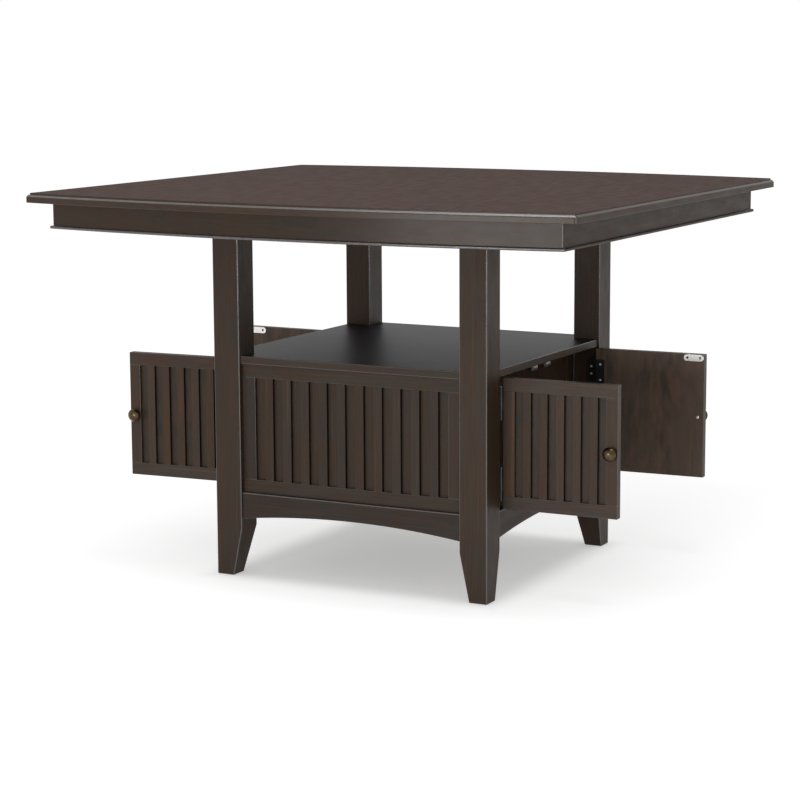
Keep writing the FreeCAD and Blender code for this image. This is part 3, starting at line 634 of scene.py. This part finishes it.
frame_y = levels("door_frame_right_front", 1, CLOSE)
frame_z = levels("door_frame_right_front", 2, CLOSE)
frame_x = levels("door_frame_right_front", 0, CLOSE)
slat_y = levels("door_slats_right_front", 1, CLOSE)
door_across = (frame_y[0], frame_y[1], frame_y[2], frame_y[-1])
door_upright = outer_four(frame_z)
door_depth = (frame_x[0], frame_x[-1])
for door, place in DOOR_PLACE.items():
    piece("door_rails_and_stiles_" + door,
          framed_sticks(door_across, door_upright, door_depth, 1, EASE_STILE, "door" + door,
                        DOOR_FRAME_TINT),
          body_of_door(door), [DOOR_RAILS[door], DOOR_UPRIGHT[door]], place,
          replaces=["door_frame_" + door])
    piece("door_raised_slats_" + door,
          raised_slats(slat_y[0::4], slat_y[3::4], door_upright[1:3], door_depth, 1, EASE_SLAT,
                       "row" + door, DOOR_SLAT_TINT),
          body_of_door(door), [DOOR_UPRIGHT[door]], place, replaces=["door_slats_" + door])


# ---------------------------------------------------------------- knobs

def spun(profile, steps):
    """Solid turned about Z from (radius, height) pairs that start and end on the axis."""
    bm = bmesh.new()
    ring = [bm.verts.new((radius, 0, height)) for radius, height in profile]
    edges = [bm.edges.new(pair) for pair in zip(ring, ring[1:])]
    bmesh.ops.spin(bm, geom=ring + edges, cent=(0, 0, 0), axis=(0, 0, 1), angle=2 * math.pi, steps=steps,
                   use_merge=True)
    bmesh.ops.remove_doubles(bm, verts=bm.verts, dist=0.002 * MM)
    bmesh.ops.recalc_face_normals(bm, faces=bm.faces)
    return bm


def arc(centre_r, centre_h, radius, start, stop, steps):
    """Points of a turned profile along an arc, angles in degrees from outwards."""
    turns = [math.radians(start + (stop - start) * i / steps) for i in range(steps + 1)]
    return [(centre_r + radius * math.cos(t), centre_h + radius * math.sin(t)) for t in turns]


knob_x = levels("door_knob_right_front", 0, CLOSE)
knob_y = levels("door_knob_right_front", 1, CLOSE)
knob_z = levels("door_knob_right_front", 2, CLOSE)
KNOB_R = (knob_z[-1] - knob_z[0]) / 2
KNOB_AT = Vector((frame_x[-1], (knob_y[0] + knob_y[-1]) / 2, (knob_z[0] + knob_z[-1]) / 2))
KNOB_OUT = knob_x[-1] - frame_x[-1]
KNOB_DOME = 9.2 * MM


def knob_shape():
    """Mushroom knob: stepped rosette, waisted neck, crisp rim and a low dome."""
    rim_h = KNOB_OUT - KNOB_DOME
    lean = math.degrees(2 * math.atan(KNOB_DOME / KNOB_R))
    dome_r = KNOB_R / math.sin(math.radians(lean))
    profile = [(0, 0), (7.6 * MM, 0), (8.0 * MM, 0.4 * MM), (8.0 * MM, 1.5 * MM), (7.5 * MM, 2.0 * MM),
               (6.2 * MM, 2.3 * MM), (5.4 * MM, 3.2 * MM), (5.0 * MM, 5.2 * MM), (5.2 * MM, 7.4 * MM),
               (6.2 * MM, 9.2 * MM), (8.5 * MM, 10.4 * MM), (12.0 * MM, 11.3 * MM), (14.4 * MM, 12.1 * MM),
               (KNOB_R - 0.3 * MM, rim_h - 0.9 * MM), (KNOB_R, rim_h - 0.4 * MM)]
    profile += arc(0, KNOB_OUT - dome_r, dome_r, 90 - lean, 90, 12)
    return spun(profile, 40)


def screw_head(radius, height, slot_half, reach):
    """Round head with a cross recess, its underside at the origin and its top along +Z."""
    bm = bmesh.new()
    rim = bmesh.ops.create_circle(bm, segments=20, radius=radius * 0.72, cap_ends=False)["verts"]
    bmesh.ops.translate(bm, verts=rim, vec=(0, 0, height))
    rim_edges = list(bm.edges)
    arm = [(reach, -slot_half), (reach, slot_half), (slot_half, slot_half)]
    corners = arm + [(-y, x) for x, y in arm] + [(-x, -y) for x, y in arm] + [(y, -x) for x, y in arm]
    cross = [bm.verts.new((x, y, height)) for x, y in corners]
    cross_edges = [bm.edges.new(pair) for pair in zip(cross, cross[1:] + cross[:1])]
    bmesh.ops.triangle_fill(bm, edges=rim_edges + cross_edges, use_beauty=True, normal=(0, 0, 1))
    floor_face = bm.faces.new(cross)
    sunk = bmesh.ops.extrude_face_region(bm, geom=[floor_face])["geom"]
    bmesh.ops.translate(bm, verts=[v for v in sunk if isinstance(v, bmesh.types.BMVert)],
                        vec=(0, 0, -height * 0.7))
    if floor_face.is_valid:
        bmesh.ops.delete(bm, geom=[floor_face], context="FACES_ONLY")
    for scale, drop in ((1.3, 0.28), (1.07, 0.42), (1.0, 0.3)):
        skirt = bmesh.ops.extrude_edge_only(bm, edges=rim_edges)["geom"]
        lower = [v for v in skirt if isinstance(v, bmesh.types.BMVert)]
        rim_edges = [e for e in skirt if isinstance(e, bmesh.types.BMEdge)
                     and all(v in lower for v in e.verts)]
        bmesh.ops.scale(bm, verts=lower, vec=(scale, scale, 1))
        bmesh.ops.translate(bm, verts=lower, vec=(0, 0, -height * drop))
    bmesh.ops.holes_fill(bm, edges=rim_edges, sides=0)
    bmesh.ops.recalc_face_normals(bm, faces=bm.faces)
    return bm


def gather(shapes):
    """One shape from several (shape, place) pairs."""
    whole = bmesh.new()
    for shape, place in shapes:
        copy = shape.copy()
        copy.transform(place)
        if place.determinant() < 0:
            bmesh.ops.recalc_face_normals(copy, faces=copy.faces)
        scrap = bpy.data.meshes.new("scrap")
        copy.to_mesh(scrap)
        copy.free()
        whole.from_mesh(scrap)
        bpy.data.meshes.remove(scrap)
    return whole


def facing(point, direction, turn=0.0):
    """Place that puts a shape made along +Z at a point, looking in a direction."""
    look = Vector(direction).to_track_quat("Z", "Y").to_matrix().to_4x4()
    return Matrix.Translation(point) @ look @ Matrix.Rotation(turn, 4, "Z")


KNOB_SCREW = screw_head(4.0 * MM, 2.2 * MM, 0.45 * MM, 1.9 * MM)
DOOR_INSIDE = levels("door_board_right_front", 0, CLOSE)[0]
for door, place in DOOR_PLACE.items():
    piece("brass_knob_" + door, knob_shape(), body_of_door(door), [BRASS],
          place @ facing(KNOB_AT, (1, 0, 0)), smooth=50, replaces=["door_knob_" + door])
    inside = Vector((DOOR_INSIDE, KNOB_AT.y, KNOB_AT.z))
    piece("knob_screw_" + door, gather([(KNOB_SCREW, facing(inside, (-1, 0, 0), 0.4))]), body_of_door(door),
          [NICKEL], place, smooth=40)


# ---------------------------------------------------------------- strikes, hinges, catches and screws

LEAF_SCREW = screw_head(3.0 * MM, 1.1 * MM, 0.35 * MM, 1.5 * MM)
PLATE_SCREW = screw_head(3.0 * MM, 0.3 * MM, 0.4 * MM, 1.6 * MM)
DOOR_LEAF_SCREW_RISE = 19.5 * MM
DOOR_LEAF_SCREW_IN = 11 * MM
LEG_LEAF_SCREW_RISE = 9 * MM
LEG_LEAF_SCREW_BACK = 21.5 * MM
LEG_LEAF_THICK = 1.2 * MM
STRIKE_SCREW_REACH = 16 * MM
MAGNET_DEPTH = 3 * MM
MAGNET_SET_BACK = 0.3 * MM
hinge_z = levels("hinge_pins", 2)
HINGE_MIDS = [(hinge_z[0] + hinge_z[1]) / 2, (hinge_z[3] + hinge_z[4]) / 2]
leaf_x = levels("hinge_door_leaves_right_front", 0, CLOSE)[0]
edge_y = frame_y[0]
strike_x = levels("strike_plate_right_front", 0, CLOSE)[0]
strike_y = levels("strike_plate_right_front", 1, CLOSE)
strike_z = levels("strike_plate_right_front", 2, CLOSE)
STRIKE_MID = Vector((strike_x, (strike_y[0] + strike_y[-1]) / 2, (strike_z[0] + strike_z[-1]) / 2))


def rounded_plate(size, corner, ease):
    """Flat plate about the origin, its four corners rounded and its rim eased."""
    bm = bmesh.new()
    bmesh.ops.create_cube(bm, size=1.0)
    bmesh.ops.scale(bm, verts=bm.verts, vec=size)
    through = [edge for edge in bm.edges if abs(edge.verts[0].co.x - edge.verts[1].co.x) > size[0] / 2]
    ease_edges(bm, through, corner, segments=6)
    ease_edges(bm, edges_sharper_than(bm, 60), ease)
    return bm


strike_back = levels("strike_plate_right_front", 0, CLOSE)[-1]
STRIKE_SIZE = Vector((strike_back - strike_x, strike_y[-1] - strike_y[0], strike_z[-1] - strike_z[0]))
STRIKE_CENTRE = Matrix.Translation(STRIKE_MID + Vector((STRIKE_SIZE.x / 2, 0, 0)))
STRIKE_END_R = STRIKE_SIZE.z / 2 - 0.1 * MM
EASE_SHEET = 0.25 * MM
EASE_PIN = 0.4 * MM
EASE_CASE = 0.6 * MM
for door, place in DOOR_PLACE.items():
    piece("bright_strike_plate_" + door, rounded_plate(STRIKE_SIZE, STRIKE_END_R, EASE_SHEET),
          body_of_door(door), [NICKEL], place @ STRIKE_CENTRE, smooth=40,
          replaces=["strike_plate_" + door])
    eased_copy("hinge_door_leaves_" + door, "wrapped_hinge_leaves_" + door, EASE_SHEET,
               body_of_door(door), ENAMEL, "hinge_black")
eased_copy("hinge_leg_leaves", "straight_hinge_leaves", EASE_SHEET, "root", ENAMEL, "hinge_black")
eased_copy("hinge_pins", "headed_hinge_pins", EASE_PIN, "root", BARREL, "hinge_steel")
eased_copy("magnetic_catches", "catch_bodies", EASE_CASE, "root", CATCH, "catch_plastic")
eased_copy("catch_poles", "catch_pole_strips", EASE_SHEET, "root", NICKEL, "nickel_plate")

pole_x = levels("catch_poles", 0)
pole_y = levels("catch_poles", 1)
pole_z = levels("catch_poles", 2)
MAGNET_SIZE = Vector((MAGNET_DEPTH, pole_y[1] - pole_y[0] - 3 * MM, pole_z[2] - pole_z[1]))
MAGNET_AT = Vector((pole_x[-1] - MAGNET_SET_BACK - MAGNET_DEPTH / 2, (pole_y[0] + pole_y[1]) / 2,
                    (pole_z[1] + pole_z[2]) / 2))
magnet = rounded_plate(MAGNET_SIZE, 0.6 * MM, 0.3 * MM)
magnets = gather([(magnet, corner @ Matrix.Translation(MAGNET_AT)) for corner in FOUR_CORNERS])
piece("catch_magnets", magnets, "root", [INSERT], smooth=40)

for door, place in DOOR_PLACE.items():
    heads = []
    for mid in HINGE_MIDS:
        for rise in (-DOOR_LEAF_SCREW_RISE, DOOR_LEAF_SCREW_RISE):
            at = Vector((leaf_x, edge_y + DOOR_LEAF_SCREW_IN, mid + rise))
            heads.append((LEAF_SCREW, facing(at, (-1, 0, 0), rise * 30)))
    piece("hinge_screws_" + door, gather(heads), body_of_door(door), [NICKEL], place,
          smooth=40)
    heads = [(PLATE_SCREW, facing(STRIKE_MID + Vector((0, y, 0)), (-1, 0, 0), 20 * y))
             for y in (-STRIKE_SCREW_REACH, STRIKE_SCREW_REACH)]
    piece("strike_screws_" + door, gather(heads), body_of_door(door), [BLACK_SCREW], place,
          smooth=40)

leg_face_y = levels("leg_right_front", 1)[-1] + LEG_LEAF_THICK
heads = []
for mid in HINGE_MIDS:
    for rise in (-LEG_LEAF_SCREW_RISE, LEG_LEAF_SCREW_RISE):
        at = Vector((HINGE_AXIS.x - LEG_LEAF_SCREW_BACK, leg_face_y, mid + rise))
        heads += [(LEAF_SCREW, corner @ facing(at, (0, 1, 0), rise * 50)) for corner in FOUR_CORNERS]
piece("leg_leaf_screws", gather(heads), "root", [NICKEL], smooth=40)


# ---------------------------------------------------------------- fittings under the top and the floor

BOLT_R = 4 * MM
THREAD_ROOT_R = 3.4 * MM
THREAD_PITCH_MM = 1.25
THREAD_TURNS = 12
NUT_R = 7.5 * MM
NUT_HIGH = 6.5 * MM
CLEAT_SCREW_SPACING = 200 * MM
BLOCK_SCREW_SHIFT = 7 * MM


def hanger_bolt():
    """End of a threaded rod with its washer and hexagon nut, standing on the origin along +Z."""
    washer = spun([(0, 0), (9.6 * MM, 0), (10 * MM, 0.4 * MM), (10 * MM, 1.2 * MM), (9.6 * MM, 1.6 * MM),
                   (0, 1.6 * MM)], 32)
    nut = bmesh.new()
    bmesh.ops.create_cone(nut, segments=6, radius1=NUT_R, radius2=NUT_R, depth=NUT_HIGH, cap_ends=True)
    bmesh.ops.translate(nut, verts=nut.verts, vec=(0, 0, 4.85 * MM))
    ease_edges(nut, list(nut.edges), 0.5 * MM)
    profile = [(0, 1 * MM), (BOLT_R, 1 * MM)]
    for turn in range(THREAD_TURNS):
        profile += [(BOLT_R, (1.5 + turn * THREAD_PITCH_MM) * MM),
                    (THREAD_ROOT_R, (2.1 + turn * THREAD_PITCH_MM) * MM)]
    profile += [(THREAD_ROOT_R, 17 * MM), (2.6 * MM, 17.8 * MM), (0, 17.8 * MM)]
    return gather([(washer, Matrix()), (nut, Matrix()), (spun(profile, 20), Matrix())])


block_x = levels("frame_corner_blocks", 0)
block_z = levels("frame_corner_blocks", 2)
BLOCK_MID = (block_x[-1] + block_x[-3]) / 2
bolt = hanger_bolt()
bolts = []
for height in (0.3, 0.7):
    at = Vector((BLOCK_MID, BLOCK_MID, block_z[0] + height * (block_z[-1] - block_z[0])))
    bolts += [(bolt, corner @ facing(at, (-1, -1, 0))) for corner in FOUR_CORNERS]
piece("hanger_bolts", gather(bolts), "root", [NICKEL], smooth=35)

PAN_SCREW = screw_head(4.2 * MM, 2.4 * MM, 0.5 * MM, 2.2 * MM)
cleat_y = levels("floor_cleats", 1)
cleat_z = levels("floor_cleats", 2)
heads = []
for corner in FOUR_CORNERS:
    for along, across in ((0.8, 0.2), (0.2, 0.8)):
        at = Vector((block_x[-1] * along + block_x[-3] * across + BLOCK_SCREW_SHIFT,
                     block_x[-1] * across + block_x[-3] * along + BLOCK_SCREW_SHIFT, block_z[0]))
        heads.append((PAN_SCREW, corner @ facing(at, (0, 0, -1))))
for quarter in range(4):
    turn = Matrix.Rotation(math.radians(90 * quarter), 4, "Z")
    for along in (-CLEAT_SCREW_SPACING, 0, CLEAT_SCREW_SPACING):
        at = Vector((along, cleat_y[-2], (cleat_z[0] + cleat_z[-1]) / 2))
        heads.append((PAN_SCREW, turn @ facing(at, (0, -1, 0), along)))
piece("underside_screws", gather(heads), "root", [NICKEL], smooth=40)

glide_x = levels("leg_glides", 0)
glide_z = levels("leg_glides", 2)
GLIDE_AT = (glide_x[-1] + glide_x[len(glide_x) // 2]) / 2
GLIDE_R = (glide_x[-1] - glide_x[len(glide_x) // 2]) / 2
glide = spun([(0, 0), (GLIDE_R - 1.4 * MM, 0), (GLIDE_R - 0.5 * MM, 0.25 * MM), (GLIDE_R, 0.8 * MM),
              (GLIDE_R, glide_z[-1]), (0, glide_z[-1])], 40)
glide_place = Matrix.Translation((GLIDE_AT, GLIDE_AT, 0))
glides = gather([(glide, corner @ glide_place) for corner in FOUR_CORNERS])
piece("round_glides", glides, "root", [GLIDE], smooth=35, replaces=["leg_glides"])


# ---------------------------------------------------------------- camera

# A long lens before the right front corner, a little above the tabletop. The focal length is in
# pixels of an 800 pixel wide picture.
PICTURE_WIDE = 800
EYE = Vector((2.5378, -4.9220, 1.2837))
YAW = math.radians(26.018)
PITCH = math.radians(9.134)
ROLL = math.radians(-0.020)
FOCAL_PIXELS = 2307.43
SHIFT_RIGHT = -0.085
ahead = Vector((-math.sin(YAW) * math.cos(PITCH), math.cos(YAW) * math.cos(PITCH), -math.sin(PITCH)))
level = Vector((math.cos(YAW), math.sin(YAW), 0))
above = level.cross(ahead)
right = math.cos(ROLL) * level + math.sin(ROLL) * above
up = math.cos(ROLL) * above - math.sin(ROLL) * level

lens = bpy.data.cameras.new("camera")
lens.sensor_width = 36
lens.lens = FOCAL_PIXELS / PICTURE_WIDE * lens.sensor_width
lens.clip_end = 200
lens.shift_x = SHIFT_RIGHT
camera = bpy.data.objects.new("camera", lens)
camera.matrix_world = Matrix.Translation(EYE) @ Matrix((right, up, -ahead)).transposed().to_4x4()
bpy.context.scene.collection.objects.link(camera)
bpy.context.scene.camera = camera
bpy.context.scene.view_settings.view_transform = "Standard"


# ---------------------------------------------------------------- studio

AMBIENT = 0.45
FLOOR_WHITE = 0.9
# Lower fill under the cabinet's footprint: a painted shadow
FOOTPRINT_PAINTED_SHADOW_FILL = 0.36
FILL_FADE = 60 * MM
FLOOR_HALF = 60
FOOTPRINT = levels("leg_right_front", 0)[-1]


def seen_or_mirrored(tree):
    """1 for rays that come from the camera or from a mirror or glass, 0 for light on surfaces."""
    path = add(tree, "LightPath").outputs
    seen = add(tree, "Math", {0: path["Is Camera Ray"], 1: path["Is Glossy Ray"]}, operation="MAXIMUM")
    both = {0: seen.outputs[0], 1: path["Is Transmission Ray"]}
    return add(tree, "Math", both, operation="MAXIMUM").outputs[0]


world = bpy.data.worlds.new("studio")
world.use_nodes = True
bpy.context.scene.world = world
background = world.node_tree.nodes["Background"]
background.inputs["Color"].default_value = (1, 1, 1, 1)
limits = {"Value": seen_or_mirrored(world.node_tree), "To Min": AMBIENT}
strength = add(world.node_tree, "MapRange", limits).outputs["Result"]
world.node_tree.links.new(strength, background.inputs["Strength"])

floor_bm = bmesh.new()
bmesh.ops.create_grid(floor_bm, x_segments=1, y_segments=1, size=FLOOR_HALF)
floor_mesh = bpy.data.meshes.new("floor")
floor_bm.to_mesh(floor_mesh)
floor_bm.free()
floor = bpy.data.objects.new("floor", floor_mesh)
bpy.context.scene.collection.objects.link(floor)
floor_material, floor_tree, floor_shader = blank_finish("white_floor_paint")
floor_shader.inputs["Base Color"].default_value = (FLOOR_WHITE, FLOOR_WHITE, FLOOR_WHITE, 1)
floor_shader.inputs["Roughness"].default_value = 1.0
floor_shader.inputs["Specular IOR Level"].default_value = 0.0
floor_shader.inputs["Emission Color"].default_value = (1, 1, 1, 1)

# The white that the camera sees is filled up to 1 on the open floor. Under the cabinet's footprint
# the fill fades to a lower value, which paints a shadow there over the object's own shadow.
floor_here = add(floor_tree, "TexCoord").outputs["Object"]
unsigned = add(floor_tree, "VectorMath", {0: floor_here}, operation="ABSOLUTE").outputs["Vector"]
spot = add(floor_tree, "SeparateXYZ", {0: unsigned}).outputs
away = add(floor_tree, "Math", {0: spot["X"], 1: spot["Y"]}, operation="MAXIMUM").outputs[0]
edges = {"Value": away, "From Min": FOOTPRINT - FILL_FADE, "From Max": FOOTPRINT + FILL_FADE}
outside_painted_shadow = add(floor_tree, "MapRange", edges, interpolation_type="SMOOTHSTEP").outputs["Result"]
limits = {"Value": outside_painted_shadow, "To Min": FOOTPRINT_PAINTED_SHADOW_FILL, "To Max": 1.02 - FLOOR_WHITE * AMBIENT}
fill = add(floor_tree, "MapRange", limits).outputs["Result"]
lift = add(floor_tree, "Math", {0: fill, 1: seen_or_mirrored(floor_tree)}, operation="MULTIPLY").outputs[0]
floor_tree.links.new(lift, floor_shader.inputs["Emission Strength"])
floor_mesh.materials.append(floor_material)


def softbox(name, at, aim, wide, tall, power):
    """Soft rectangular lamp, not seen itself by the camera."""
    lamp = bpy.data.lights.new(name, "AREA")
    lamp.shape = "RECTANGLE"
    lamp.size = wide
    lamp.size_y = tall
    lamp.energy = power
    holder = bpy.data.objects.new(name, lamp)
    holder.location = at
    holder.rotation_mode = "QUATERNION"
    holder.rotation_quaternion = (Vector(aim) - Vector(at)).to_track_quat("-Z", "Y")
    holder.visible_camera = False
    bpy.context.scene.collection.objects.link(holder)


softbox("front_softbox", (0.02, -3.5, 0.62), (0.0, 0, 0.6), 1.55, 0.55, 29)
softbox("overhead_strip", (0.3, -1.05, 3.0), (0, 0, 0.8), 2.6, 0.3, 24)
